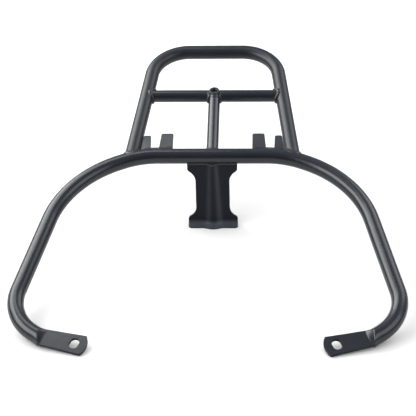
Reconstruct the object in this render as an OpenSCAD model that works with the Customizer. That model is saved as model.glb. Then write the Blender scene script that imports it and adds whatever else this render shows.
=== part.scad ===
// Rear luggage rack for a scooter, welded from bent steel tube.
// A wide hoop opens to the front and ends in two flattened, slotted feet.
// A carrier loop rises behind the crossbar, and a ribbed bracket stands below it.
// Origin: middle of the rack on the floor. +X right, +Y to the rear, +Z up.

/* [Hoop tube] */
// Outside diameter of the hoop tube
hoop_d = 18; // [16:0.5:22]
// Wall of the hoop tube
hoop_wall = 1.6; // [1.2:0.1:2.5]
// Straight length of the crossbar between its two shoulder bends
crossbar_l = 124; // [118:1:140]
// Radius of the shoulder bends, on the tube's axis
shoulder_r = 100; // [80:1:130]
// Angle of the shoulder bends
shoulder_angle = 24.5; // [20:0.5:28]
// Straight length between the shoulder bend and the corner bend
shoulder_l = 4; // [1:1:20]
// Radius of the large corner bends, on the tube's axis
corner_r = 128; // [100:1:150]
// Angle of the large corner bends
corner_angle = 53; // [48:0.5:58]
// Straight length of each hoop leg
leg_l = 104; // [80:1:130]
// Radius of the heel bends, on the tube's axis
heel_r = 55; // [48:1:65]
// Angle of the heel bends, up to where the tube is flat
heel_angle = 81.5; // [76:0.5:86]
// Slope of the whole frame, rising to the rear
frame_tilt = 17.5; // [12:0.5:22]

/* [Flattened feet] */
// Angle of heel bend over which the tube is pressed flat
press_angle = 11; // [9:0.5:14]
// Share of that angle which stays round on the outer side of the bend
press_skew = 0.75; // [0.5:0.05:0.85]
// Turn between the end of the heel bend and the foot's centre line
foot_turn = 7; // [4:0.5:10]
// Length of a foot from the end of the bend to its rounded tip
foot_l = 47; // [42:0.5:55]
// Width of a foot where it leaves the bend
foot_neck_w = 20.2; // [19:0.1:23]
// Width of a foot at its tip
foot_tip_w = 24.6; // [22:0.1:28]
// Radius of the rounded tip
foot_tip_r = 20.5; // [16:0.5:30]
// Width of the bolt slot
slot_w = 9.5; // [6.5:0.5:10]
// Length of the bolt slot over its round ends
slot_l = 13; // [10.5:0.5:15]
// Distance from the slot's middle to the tip
slot_inset = 13.6; // [12.5:0.1:17]
// Turn of the slot against the foot's centre line
slot_turn = -82; // [-90:1:-40]

/* [Carrier loop] */
// Outside diameter of the carrier loop's tube
carrier_d = 17; // [14:0.5:18]
// Wall of the carrier loop's tube
carrier_wall = 1.5; // [1:0.1:2.5]
// Straight length of the loop's rear bar
rear_bar_l = 64; // [50:1:80]
// Radius of the loop's corners, on the tube's axis
loop_r = 45.5; // [35:0.5:55]
// Angle of the loop's corners
loop_angle = 83.5; // [80:0.5:88]
// Distance from the crossbar's axis to the rear bar's axis, along the frame
loop_reach = 181; // [160:1:210]

/* [Cross tube and spine tube] */
// Outside diameter of the cross tube
cross_d = 14.5; // [13:0.5:15.5]
// Distance from the crossbar's axis to the cross tube's axis, along the frame
cross_reach = 101.5; // [90:0.5:115]
// Outside diameter of the spine tube
spine_d = 14; // [12:0.5:14]
// Wall of the cross tube and of the spine tube
inner_wall = 1.5; // [1:0.1:2]

/* [Threaded bush] */
// Outside diameter of the bush in the cross tube
bush_d = 12.2; // [11:0.1:12.5]
// Core diameter of its thread
bush_bore = 7; // [5:0.1:8]
// Height that the bush stands out of the cross tube, above and below
bush_rise = 2.2; // [1:0.1:3]
// Chamfer at each end of the bush
bush_chamfer = 0.6; // [0.2:0.1:1]

/* [Fork plates] */
// Thickness of the fork plates
fork_t = 3; // [2:0.5:4]
// Distance from the rack's middle plane to a fork plate
fork_x = 47.5; // [42:0.5:52]
// Width of the inner prong at its end
prong_w = 12.5; // [11:0.5:15]
// Reach of the inner prong from the crossbar's axis
inner_prong_reach = 34.8; // [32:0.1:40]
// Reach of the outer prong from the crossbar's axis
outer_prong_reach = 31.5; // [30:0.1:38]
// Width of the slot between the prongs at its mouth
fork_mouth_w = 14; // [12:0.5:16]
// Width of the slot between the prongs at its round bottom
fork_root_w = 9.5; // [8.5:0.5:11]
// Distance from the crossbar's axis to the bottom of that slot
fork_root_reach = 12; // [11.5:0.1:14]
// Radius on the corner of the inner prong that faces the spine tube
prong_corner_r = 3.5; // [2:0.5:5]
// Gap between a fork plate and the leg of the carrier loop
fork_leg_gap = 1.5; // [1:0.1:2.5]
// Size of the cut corner that clears the leg's weld
fork_relief = 7; // [6:0.5:8]

/* [Bracket] */
// Thickness of the pressed sheet
bracket_t = 2.5; // [2:0.5:4]
// Distance from the crossbar's axis forward to the sheet's rear face
bracket_offset = 5; // [4:0.5:5.5]
// Width of the bracket at its top and at its foot
bracket_w = 58; // [50:1:66]
// Width of the bracket at its waist
waist_w = 39.5; // [34:0.5:44]
// Height over which the top keeps its full width
top_end_h = 6.5; // [3:0.5:8]
// Height over which the foot keeps its full width
foot_end_h = 9; // [3:0.5:12]
// Height of each curved shoulder between an end and the waist
curve_h = 13; // [11:0.5:18]
// Length of the foot's lip in front of the sheet
lip_l = 7.5; // [5:0.5:10]
// Corner radius of the lip
lip_corner_r = 4; // [2:0.5:6]
// Width of the pressed rib at the top
rib_top_w = 12; // [9:0.5:15]
// Width of the pressed rib at the foot
rib_foot_w = 22; // [18:0.5:26]
// Height that the rib stands out at the top
rib_top_h = 2; // [1.5:0.1:2.5]
// Height that the rib stands out at the foot
rib_foot_h = 3.2; // [2.5:0.1:5.5]

/* [Welds] */
// Leg of the fillet beads on the loop's legs
leg_bead = 3; // [2:0.1:4]
// Leg of the fillet beads on the cross tube and the spine tube
tube_bead = 2.5; // [1.5:0.1:3]
// Leg of the beads along the fork plates and the bracket
plate_bead = 3; // [2:0.1:3.5]
// Height of a bead over the straight line between its two edges
bead_crown = 0.9; // [0.7:0.1:1.2]
// Gap left in a joint before it is welded
fit_gap = 0.1; // [0.08:0.01:0.2]

/* [Hidden] */
$fn = 64;
bead_steps = 40;

paint = [0.10, 0.105, 0.115];
bead_paint = [0.13, 0.135, 0.145];
bush_paint = [0.16, 0.165, 0.17];

// Round tube sizes
hoop_r = hoop_d / 2;
carrier_r = carrier_d / 2;
cross_r = cross_d / 2;
spine_r = spine_d / 2;
bush_r = bush_d / 2;

// Angles that the hoop's axis has turned from the crossbar
shoulder_end = shoulder_angle;
corner_end = shoulder_end + corner_angle;
heel_end = corner_end + heel_angle;
foot_heading = heel_end + foot_turn;

// Stations along the right half of the hoop's axis, in the frame's plane
half_crossbar = crossbar_l / 2;
function heading(a) = [cos(a), -sin(a)];
function side(a) = [sin(a), cos(a)];
function after_bend(p, r, a0, a1) = p + r * (side(a1) - side(a0));
shoulder_p0 = [half_crossbar, 0];
shoulder_p1 = after_bend(shoulder_p0, shoulder_r, 0, shoulder_end);
corner_p0 = shoulder_p1 + shoulder_l * heading(shoulder_end);
corner_p1 = after_bend(corner_p0, corner_r, shoulder_end, corner_end);
heel_p0 = corner_p1 + leg_l * heading(corner_end);
heel_p1 = after_bend(heel_p0, heel_r, corner_end, heel_end);

// Corner of a foot's tip
foot_t = 2 * hoop_wall;
tip_x = foot_l - foot_tip_r + sqrt(pow(foot_tip_r, 2) - pow(foot_tip_w / 2, 2));
tip_corner = heel_p1 + tip_x * heading(foot_heading) + foot_tip_w / 2 * side(foot_heading);

// The crossbar's height lets the pressed heels just clear the floor,
// and its distance from the origin centres the rack's length.
press_low = after_bend(heel_p0, heel_r, corner_end, heel_end - press_angle / 2);
floor_clearance = 0.2;
heel_drop = -press_low[1] * sin(frame_tilt) + hoop_r;
tip_drop = -tip_corner[1] * sin(frame_tilt) + foot_t / 2 * cos(frame_tilt);
crossbar_z = max(heel_drop, tip_drop) + floor_clearance;
front_y = tip_corner[1] * cos(frame_tilt) - foot_t / 2 * sin(frame_tilt);
rear_y = loop_reach * cos(frame_tilt) + carrier_r;
crossbar_y = -(front_y + rear_y) / 2;

// Legs of the carrier loop: where the corner ends, and the way down to the crossbar
loop_p0 = [rear_bar_l / 2, loop_reach];
loop_p1 = after_bend(loop_p0, loop_r, 0, loop_angle);
leg_way = heading(loop_angle);
leg_out = side(loop_angle);
function leg_x(y) = loop_p1[0] + (y - loop_p1[1]) * leg_way[0] / leg_way[1];

// The hoop's axis below the foot of a loop leg, inside the shoulder bend
shoulder_c = shoulder_p0 - [0, shoulder_r];
function axis_drop(x) = x <= half_crossbar ? 0
    : sqrt(pow(shoulder_r, 2) - pow(x - half_crossbar, 2)) - shoulder_r;
leg_base_x = leg_x(axis_drop(leg_x(0)));
leg_base = [leg_base_x, axis_drop(leg_base_x)];
loop_leg_l = norm(leg_base - loop_p1);

// Turns the frame's plane into place: x right, y up the slope, z square to the frame
module in_frame() {
    translate([0, crossbar_y, crossbar_z]) rotate([frame_tilt, 0, 0]) children();
}

module both_sides() {
    children();
    mirror([1, 0, 0]) children();
}

// A straight piece of bar along +X, with what follows at its end.
// It laps a little way into the bends at both ends, which bending has made a hair slimmer.
lap = 0.5;
bend_trim = 0.1;
module run(l, d) {
    translate([-lap, 0, 0]) rotate([0, 90, 0]) rotate([0, 0, 90]) cylinder(d = d, h = l + 2 * lap);
    translate([l, 0, 0]) children();
}

// A bend of bar that leaves along +X and turns to the right, with what follows at its end
module bend(r, a, d) {
    translate([0, -r, 0]) rotate([0, 0, 90 - a]) rotate_extrude(angle = a, $fn = 180)
        translate([r, 0]) circle(r = d / 2 - bend_trim, $fn = 64);
    translate([r * sin(a), r * cos(a) - r, 0]) rotate([0, 0, -a]) children();
}

// The hoop as a bar of diameter d, up to where it is pressed flat
module hoop_bar(d) {
    translate([-half_crossbar, 0, 0]) run(crossbar_l, d);
    both_sides() translate([half_crossbar, 0, 0]) bend(shoulder_r, shoulder_angle, d)
        run(shoulder_l, d) bend(corner_r, corner_angle, d) run(leg_l, d)
        bend(heel_r, heel_angle - press_angle, d);
}

// The part of the hoop that the carrier and the plates are welded to
module crossbar_bar(d) {
    translate([-half_crossbar, 0, 0]) run(crossbar_l, d);
    both_sides() translate([half_crossbar, 0, 0]) bend(shoulder_r, shoulder_angle, d)
        run(shoulder_l, d) bend(corner_r, corner_angle, d);
}

// Joins rings of points into one closed solid. A closed loop has no end caps.
module skin(rings, closed = false) {
    n = len(rings[0]);
    m = len(rings);
    last = closed ? m - 1 : m - 2;
    sides = [for (i = [0:last], j = [0:n - 1])
        each [[i * n + j, ((i + 1) % m) * n + j, ((i + 1) % m) * n + (j + 1) % n],
              [i * n + j, ((i + 1) % m) * n + (j + 1) % n, i * n + (j + 1) % n]]];
    caps = closed ? [] : [[for (j = [0:n - 1]) j], [for (j = [n - 1:-1:0]) (m - 1) * n + j]];
    polyhedron(points = [for (r = rings) each r], faces = concat(sides, caps), convexity = 6);
}

// Pressed length of the heel. The tube turns from round to flat, sooner inside the bend.
press_steps = 10;
ring_points = 40;
function ease(t) = t <= 0 ? 0 : t >= 1 ? 1 : t * t * (3 - 2 * t);
function blend(a, b, t) = a + (b - a) * t;
function press_start(v) = press_skew * (1 + v) / 2;
function press_share(u, v) = ease((u - press_start(v)) / (1 - press_start(v)));
function press_point(u, q, shrink) = let(
    a = corner_end + (heel_angle - press_angle) + press_angle * u,
    v = cos(q),
    start_r = hoop_r - 1.5 * bend_trim,
    half_w = blend(start_r, foot_neck_w / 2, ease(u)) - shrink,
    half_h = blend(start_r, foot_t / 2, press_share(max(0, min(1, u)), v)) - shrink,
    square = blend(1, 0.45, ease(u)),
    p = after_bend(heel_p0, heel_r + half_w * v, corner_end, a) + half_w * v * side(corner_end))
    [p[0], p[1], half_h * sign(sin(q)) * pow(abs(sin(q)), square)];
function press_ring(u, shrink) = [for (j = [0:ring_points - 1])
    press_point(u, 360 * j / ring_points, shrink)];

module pressed_heel() {
    plug = -0.1;
    skin([press_ring(plug, hoop_wall / 2), for (i = [0:press_steps]) press_ring(i / press_steps, 0)]);
}

// Outline of a foot, from inside the pressed heel to its tip
module foot_outline() {
    root = foot_neck_w / 4;
    flare = (foot_tip_w - foot_neck_w) / 2 / tip_x;
    function half_w(x) = foot_neck_w / 2 + flare * x;
    intersection() {
        polygon([[-root, -half_w(-root)], [foot_l, -half_w(foot_l)],
            [foot_l, half_w(foot_l)], [-root, half_w(-root)]]);
        union() {
            translate([-root, -foot_tip_w]) square([root + foot_l - foot_tip_r, 2 * foot_tip_w]);
            translate([foot_l - foot_tip_r, 0]) circle(r = foot_tip_r, $fn = 160);
        }
    }
}

module slot_cut() {
    half = (slot_l - slot_w) / 2;
    deep = 2 * foot_t;
    translate([foot_l - slot_inset, 0, 0]) rotate([0, 0, slot_turn]) {
        for (s = [-1, 1]) translate([s * half, 0, -deep / 2]) cylinder(d = slot_w, h = deep);
        translate([-half, -slot_w / 2, -deep / 2]) cube([2 * half, slot_w, deep]);
    }
}

module foot_plate() {
    translate([heel_p1[0], heel_p1[1], 0]) rotate([0, 0, -foot_heading]) difference() {
        translate([0, 0, -foot_t / 2]) linear_extrude(foot_t) foot_outline();
        slot_cut();
    }
}

module hoop_tube() {
    color(paint) in_frame() {
        difference() {
            hoop_bar(hoop_d);
            hoop_bar(hoop_d - 2 * hoop_wall);
        }
        both_sides() {
            pressed_heel();
            foot_plate();
        }
    }
}

// The carrier loop as a bar of diameter d, down to the hoop's axis
module loop_bar(d) {
    translate([-rear_bar_l / 2, loop_reach, 0]) run(rear_bar_l, d);
    both_sides() translate([rear_bar_l / 2, loop_reach, 0]) bend(loop_r, loop_angle, d)
        run(loop_leg_l, d);
}

module carrier_loop() {
    color(paint) in_frame() difference() {
        loop_bar(carrier_d);
        loop_bar(carrier_d - 2 * carrier_wall);
        crossbar_bar(hoop_d + 2 * fit_gap);
    }
}

// One leg of the carrier loop, as the bar that the cross tube is coped to
module leg_bar(d) {
    translate([loop_p1[0], loop_p1[1], 0]) rotate([0, 0, -loop_angle]) run(loop_leg_l, d);
}

module cross_bar(d) {
    half = leg_x(cross_reach);
    translate([-half, cross_reach, 0]) run(2 * half, d);
}

module bush_bar(r) {
    reach = cross_r + bush_rise;
    translate([0, cross_reach, -reach]) cylinder(r = r, h = 2 * reach);
}

module cross_tube() {
    color(paint) in_frame() difference() {
        cross_bar(cross_d);
        cross_bar(cross_d - 2 * inner_wall);
        both_sides() leg_bar(carrier_d + 2 * fit_gap);
        bush_bar(bush_r + fit_gap);
    }
}

module spine_bar(d) {
    rotate([0, 0, 90]) run(cross_reach, d);
}

module spine_tube() {
    color(paint) in_frame() difference() {
        spine_bar(spine_d);
        spine_bar(spine_d - 2 * inner_wall);
        crossbar_bar(hoop_d + 2 * fit_gap);
        cross_bar(cross_d + 2 * fit_gap);
        bush_bar(bush_r + fit_gap);
    }
}

module threaded_bush() {
    reach = cross_r + bush_rise;
    color(bush_paint) in_frame() translate([0, cross_reach, 0]) difference() {
        rotate_extrude() polygon([
            [bush_bore / 2, -reach], [bush_r - bush_chamfer, -reach],
            [bush_r, -reach + bush_chamfer], [bush_r, reach - bush_chamfer],
            [bush_r - bush_chamfer, reach], [bush_bore / 2, reach]]);
    }
}

// Right fork plate: two prongs beside an open slot that widens to the rear
prong_in = fork_x + prong_w;
mouth_out = prong_in + fork_mouth_w;
root_mid = (prong_in + mouth_out) / 2;
fork_side_gap = carrier_r / leg_out[0] + fork_leg_gap;
function fork_side(y) = leg_x(y) - fork_side_gap;

module fork_outline() {
    root_y = fork_root_reach + fork_root_w / 2;
    corner = [fork_x + prong_corner_r, inner_prong_reach - prong_corner_r];
    relief_y = hoop_r + fork_relief;
    difference() {
        union() {
            polygon([[fork_x, 0], [fork_side(relief_y) - fork_relief, 0],
                [fork_side(relief_y) - fork_relief, relief_y - fork_relief],
                [fork_side(relief_y), relief_y],
                [fork_side(outer_prong_reach), outer_prong_reach], [root_mid, outer_prong_reach],
                [root_mid, inner_prong_reach], [corner[0], inner_prong_reach],
                corner, [fork_x, corner[1]]]);
            translate(corner) circle(r = prong_corner_r);
        }
        translate([root_mid, root_y]) circle(d = fork_root_w);
        polygon([[root_mid - fork_root_w / 2, root_y], [root_mid + fork_root_w / 2, root_y],
            [mouth_out, outer_prong_reach], [mouth_out, inner_prong_reach + 1],
            [prong_in, inner_prong_reach + 1], [prong_in, inner_prong_reach]]);
    }
}

module fork_plate() {
    color(paint) in_frame() difference() {
        translate([0, 0, -fork_t / 2]) linear_extrude(fork_t) fork_outline();
        crossbar_bar(hoop_d + 2 * fit_gap);
    }
}

module right_fork() {
    fork_plate();
}

module left_fork() {
    mirror([1, 0, 0]) fork_plate();
}

// Bracket: a waisted sheet below the crossbar, with a rib pressed forward and a lip at its foot
bracket_front = -bracket_offset - bracket_t;
bracket_top = crossbar_z - sqrt(pow(hoop_r, 2) - pow(bracket_offset + bracket_t, 2)) - 1;
function arc(c, r, a0, a1, n) = [for (i = [0:n]) c + r * [cos(a0 + (a1 - a0) * i / n),
    sin(a0 + (a1 - a0) * i / n)]];
curve_turn = 2 * atan((bracket_w - waist_w) / 2 / curve_h);
curve_r = curve_h / 2 / sin(curve_turn);
curve_out = arc([bracket_w / 2 - curve_r, 0], curve_r, 0, curve_turn, 8);
curve_in = arc([waist_w / 2 + curve_r, curve_h], curve_r, 180 + curve_turn, 180, 8);
curve = concat(curve_out, [for (i = [1:len(curve_in) - 1]) curve_in[i]]);
curve_low = [for (p = curve) [p[0], foot_end_h + p[1]]];
curve_high = [for (i = [len(curve) - 1:-1:0]) [curve[i][0], bracket_top - top_end_h - curve[i][1]]];
right_edge = concat([[bracket_w / 2, 0]], curve_low, curve_high, [[bracket_w / 2, bracket_top]]);

module bracket_outline() {
    polygon(concat(right_edge, [for (i = [len(right_edge) - 1:-1:0]) [-right_edge[i][0], right_edge[i][1]]]));
}

// The rib is a slender cone that leans forward out of the sheet
function rib_radius(w, h) = (w * w / 4 + h * h) / (2 * h);
rib_r0 = rib_radius(rib_foot_w, rib_foot_h);
rib_r1 = rib_radius(rib_top_w, rib_top_h);
rib_y0 = bracket_front - rib_foot_h + rib_r0;
rib_y1 = bracket_front - rib_top_h + rib_r1;
rib_lean = atan((rib_y1 - rib_y0) / bracket_top);

// Cone of the rib, made smaller by the sheet's thickness for the hollow behind it
module rib_cone(inset) {
    over = 12;
    slope = (rib_r1 - rib_r0) / bracket_top;
    axis_l = bracket_top / cos(rib_lean);
    translate([0, rib_y0, 0]) rotate([-rib_lean, 0, 0]) translate([0, 0, -over])
        cylinder(r1 = rib_r0 - inset - slope * over, r2 = rib_r1 - inset + slope * over,
            h = axis_l + 2 * over);
}

module rib_body() {
    deep = rib_foot_h + lip_l;
    intersection() {
        rib_cone(0);
        translate([-bracket_w / 2, bracket_front - deep, 0]) cube([bracket_w, deep + bracket_t, bracket_top]);
    }
}

module lip_outline() {
    front = bracket_front - lip_l;
    half = bracket_w / 2;
    difference() {
        translate([-half, front]) square([2 * half, lip_l + bracket_t]);
        both_sides() translate([half - lip_corner_r, front]) difference() {
            translate([0, -1]) square([lip_corner_r + 1, lip_corner_r + 1]);
            translate([0, lip_corner_r]) circle(r = lip_corner_r);
        }
    }
    intersection() {
        translate([0, rib_y0]) circle(r = rib_r0 + lip_l);
        translate([-rib_foot_w, front - rib_foot_h]) square([2 * rib_foot_w, lip_l + rib_foot_h + bracket_t]);
    }
}

// Hollow behind the rib, above the lip
module rib_hollow() {
    wide = 2 * bracket_w;
    difference() {
        rib_cone(bracket_t);
        translate([-wide / 2, -wide / 2, bracket_t - wide]) cube(wide);
    }
}

module bracket() {
    color(paint) translate([0, crossbar_y, 0]) difference() {
        union() {
            translate([0, -bracket_offset, 0]) rotate([90, 0, 0])
                linear_extrude(bracket_t) bracket_outline();
            rib_body();
            linear_extrude(bracket_t) lip_outline();
        }
        rib_hollow();
        translate([-bracket_w, 0, crossbar_z]) rotate([0, 90, 0]) rotate([0, 0, 90])
            cylinder(r = hoop_r + fit_gap, h = 2 * bracket_w);
    }
}

// Weld beads. Each lies on lifted copies of both surfaces, so that its facets stay clear of them.
function unit(v) = v / norm(v);
function lifted(r) = r / cos(180 / bead_steps) + fit_gap;
function flat(p) = [p[0], p[1]];
function raised(p, z) = [p[0], p[1], z];

// Nearest point on a tube: straight tubes have a point and a way, bent ones a centre and a radius
function axis_point(tube, p) = tube[0] == "straight"
    ? tube[1] + ((flat(p) - tube[1]) * tube[2]) * tube[2]
    : tube[1] + tube[2] * unit(flat(p) - tube[1]);
function snap(tube, p) = let(c = raised(axis_point(tube, p), 0)) c + lifted(tube[3]) * unit(p - c);

// Distance along a branch at which a line on its surface meets the main tube
function reach(tube, p, way) = let(
    deep = sqrt(max(0, pow(lifted(tube[3]), 2) - pow(p[2], 2))))
    tube[0] == "straight"
        ? let(out = [-tube[2][1], tube[2][0]], toward = (way * out) > 0 ? 1 : -1)
            (toward * deep - (flat(p) - tube[1]) * out) / (way * out)
        : let(v = flat(p) - tube[1], b = v * way) -b + sqrt(b * b - v * v + pow(tube[2] + deep, 2));

// Section of a bead at angle q around a branch tube that stands on a main tube
function bead_ring(main, root, way, r, leg, q) = let(
    across = [way[1], -way[0]],
    out = raised(across * cos(q), sin(q)),
    rim = raised(root, 0) + lifted(r) * out,
    seam = rim + raised(way * reach(main, rim, way), 0),
    normal = unit(seam - raised(axis_point(main, seam), 0)),
    slide = unit(out - (out * normal) * normal),
    up = seam + leg * raised(way, 0),
    down = snap(main, seam + leg * slide),
    crown = bead_crown * unit(normal + out))
    [seam, snap(main, seam + leg / 2 * slide), down,
        blend(down, up, 1 / 3) + crown, blend(down, up, 2 / 3) + crown, up];

module round_bead(main, root, way, r, leg) {
    skin([for (i = [0:bead_steps - 1]) bead_ring(main, root, way, r, leg, 360 * i / bead_steps)],
        closed = true);
}

module part_bead(main, root, way, r, leg, q0, q1) {
    n = bead_steps / 2;
    skin([for (i = [0:n]) bead_ring(main, root, way, r, leg, q0 + (q1 - q0) * i / n)]);
}

module leg_weld() {
    color(bead_paint) in_frame()
        round_bead(["bent", shoulder_c, shoulder_r, hoop_r], leg_base, -leg_way, carrier_r, leg_bead);
}

module right_leg_weld() {
    leg_weld();
}

module left_leg_weld() {
    mirror([1, 0, 0]) leg_weld();
}

module cross_weld() {
    color(bead_paint) in_frame() round_bead(["straight", loop_p1, leg_way, carrier_r],
        [leg_x(cross_reach), cross_reach], [-1, 0], cross_r, tube_bead);
}

module right_cross_weld() {
    cross_weld();
}

module left_cross_weld() {
    mirror([1, 0, 0]) cross_weld();
}

module spine_front_weld() {
    color(bead_paint) in_frame()
        round_bead(["straight", [0, 0], [1, 0], hoop_r], [0, 0], [0, 1], spine_r, tube_bead);
}

// At the cross tube the bead stops on each side of the bush
module spine_rear_weld() {
    stop = 45;
    color(bead_paint) in_frame() both_sides()
        part_bead(["straight", [0, cross_reach], [1, 0], cross_r], [0, cross_reach], [0, -1],
            spine_r, tube_bead, 180 - stop, 180 + stop);
}

// Straight bead in the corner between a fork plate's face and the crossbar
fork_bead_l0 = fork_x + 1;
fork_bead_l1 = fork_side(hoop_r + fork_relief) - fork_relief - 1;
function on_crossbar(x, z, r) = [x, axis_drop(x) + sqrt(pow(r, 2) - pow(z, 2)), z];
function fork_bead_ring(x) = let(
    r = lifted(hoop_r),
    z0 = fork_t / 2 + fit_gap,
    root = on_crossbar(x, z0, r),
    high = on_crossbar(x, z0 + plate_bead, r),
    back = [x, axis_drop(x) + hoop_r + plate_bead, z0],
    crown = bead_crown * unit([0, 1, 1]))
    [root, back, blend(back, high, 1 / 3) + crown, blend(back, high, 2 / 3) + crown, high,
        on_crossbar(x, z0 + plate_bead / 2, r)];

module fork_top_weld() {
    n = 12;
    skin([for (i = [0:n]) fork_bead_ring(blend(fork_bead_l0, fork_bead_l1, i / n))]);
}

module right_fork_top_weld() {
    color(bead_paint) in_frame() fork_top_weld();
}

module left_fork_top_weld() {
    mirror([1, 0, 0]) right_fork_top_weld();
}

module right_fork_under_weld() {
    color(bead_paint) in_frame() mirror([0, 0, 1]) fork_top_weld();
}

module left_fork_under_weld() {
    mirror([1, 0, 0]) right_fork_under_weld();
}

// Beads along the bracket's top edge. They leave out the rib, before and behind the sheet.
bracket_bead_start = rib_top_w / 2 + 1;
bracket_bead_end = bracket_w / 2 - 1.5;
function below_crossbar(x, y, r) = [x, y, -sqrt(pow(r, 2) - pow(y, 2))];
function front_bead_ring(x) = let(
    r = lifted(hoop_r),
    y0 = bracket_front - fit_gap,
    root = below_crossbar(x, y0, r),
    top = below_crossbar(x, (y0 - r) / 2, r),
    low = [x, y0, root[2] - plate_bead],
    crown = bead_crown * unit([0, -1, -0.5]))
    [root, top, blend(top, low, 1 / 3) + crown, blend(top, low, 2 / 3) + crown, low];

function rear_bead_ring(x) = let(
    r = lifted(hoop_r),
    y0 = -bracket_offset + fit_gap,
    root = below_crossbar(x, y0, r),
    far = below_crossbar(x, y0 + plate_bead, r),
    low = [x, y0, root[2] - plate_bead],
    crown = bead_crown * unit([0, 1, -1]))
    [root, low, blend(low, far, 1 / 3) + crown, blend(low, far, 2 / 3) + crown, far,
        below_crossbar(x, y0 + plate_bead / 2, r)];

module bracket_front_weld() {
    color(bead_paint) translate([0, crossbar_y, crossbar_z]) both_sides()
        skin([for (x = [bracket_bead_end, bracket_bead_start]) front_bead_ring(x)]);
}

module bracket_rear_weld() {
    color(bead_paint) translate([0, crossbar_y, crossbar_z]) both_sides()
        skin([for (x = [bracket_bead_end, bracket_bead_start]) rear_bead_ring(x)]);
}

hoop_tube();
carrier_loop();
cross_tube();
spine_tube();
threaded_bush();
left_fork();
right_fork();
bracket();
left_leg_weld();
right_leg_weld();
left_cross_weld();
right_cross_weld();
spine_front_weld();
spine_rear_weld();
left_fork_top_weld();
right_fork_top_weld();
left_fork_under_weld();
right_fork_under_weld();
bracket_front_weld();
bracket_rear_weld();
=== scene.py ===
# %% [markdown]
# # A scooter's tubular rear rack, dressed for its picture
#
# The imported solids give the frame: real sizes, real places. This script lays a smooth
# skin over every solid, adds what paint and welding leave behind, and lights the rack
# as the photograph does. Lengths are in millimetres until a mesh is made.

# %% Frame
import math

import bmesh
import bpy
import numpy as np
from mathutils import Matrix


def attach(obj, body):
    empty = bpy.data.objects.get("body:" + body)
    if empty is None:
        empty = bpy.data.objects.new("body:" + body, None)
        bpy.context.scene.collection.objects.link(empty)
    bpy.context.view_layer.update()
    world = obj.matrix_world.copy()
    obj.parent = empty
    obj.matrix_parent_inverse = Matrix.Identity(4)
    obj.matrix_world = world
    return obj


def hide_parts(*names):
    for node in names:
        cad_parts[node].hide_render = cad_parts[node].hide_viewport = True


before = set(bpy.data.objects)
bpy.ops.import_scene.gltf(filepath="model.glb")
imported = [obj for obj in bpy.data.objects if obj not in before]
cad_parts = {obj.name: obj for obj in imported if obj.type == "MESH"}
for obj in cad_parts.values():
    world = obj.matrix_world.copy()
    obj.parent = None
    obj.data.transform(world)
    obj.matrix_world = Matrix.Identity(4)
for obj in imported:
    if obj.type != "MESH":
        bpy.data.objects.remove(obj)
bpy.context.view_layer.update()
print("solids in the frame:", len(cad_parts))

# %% [markdown]
# ## Sizes
#
# These are the sizes of the solids. The hoop and the carrier lie in one sloping plane.
# Its coordinates are x to the right, u up the slope to the rear, and n square to it.
# The skins of the two bent tubes lie SKIN_INSET inside their solids, so that the dressed
# rack stays in the box of its solids.

# %% Sizes of the rack
MM = 0.001
HOOP_R, CARRIER_R, CROSS_R, SPINE_R = 9.0, 8.5, 7.25, 7.0
SKIN_INSET = 0.12
HALF_CROSSBAR = 62.0
SHOULDER_R, SHOULDER_TURN, SHOULDER_L = 100.0, 24.5, 4.0
CORNER_R, CORNER_TURN, LEG_L = 128.0, 53.0, 104.0
HEEL_R, HEEL_TURN, PRESS_TURN, PRESS_SKEW = 55.0, 81.5, 11.0, 0.75
TILT = 17.5
FOOT_TURN, FOOT_L, NECK_W, TIP_W, TIP_R, FOOT_T = 7.0, 47.0, 20.2, 24.6, 20.5, 3.2
SLOT_W, SLOT_L, SLOT_INSET, SLOT_TURN = 9.5, 13.0, 13.6, -82.0
HALF_REAR, LOOP_R, LOOP_TURN, LOOP_REACH = 32.0, 45.5, 83.5, 181.0
CROSS_REACH = 101.5
BUSH_R, BORE_R, BUSH_RISE = 6.1, 3.5, 2.2
FLOOR_CLEARANCE = 0.2


def heading(a):
    """Unit vector along the tube after it has turned right by a degrees from +x."""
    return np.array([math.cos(math.radians(a)), -math.sin(math.radians(a))])


def side(a):
    """Unit vector to the left of that heading, which is the outside of a right-hand bend."""
    return np.array([math.sin(math.radians(a)), math.cos(math.radians(a))])


def after_bend(p, r, a0, a1):
    """Point reached from p along a bend of radius r between the headings a0 and a1."""
    return p + r * (side(a1) - side(a0))


SHOULDER_END = SHOULDER_TURN
CORNER_END = SHOULDER_END + CORNER_TURN
HEEL_END = CORNER_END + HEEL_TURN
FOOT_HEADING = HEEL_END + FOOT_TURN
shoulder_0 = np.array([HALF_CROSSBAR, 0.0])
shoulder_1 = after_bend(shoulder_0, SHOULDER_R, 0, SHOULDER_END)
corner_0 = shoulder_1 + SHOULDER_L * heading(SHOULDER_END)
corner_1 = after_bend(corner_0, CORNER_R, SHOULDER_END, CORNER_END)
heel_0 = corner_1 + LEG_L * heading(CORNER_END)
heel_1 = after_bend(heel_0, HEEL_R, CORNER_END, HEEL_END)
loop_0 = np.array([HALF_REAR, LOOP_REACH])
loop_1 = after_bend(loop_0, LOOP_R, 0, LOOP_TURN)

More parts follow.
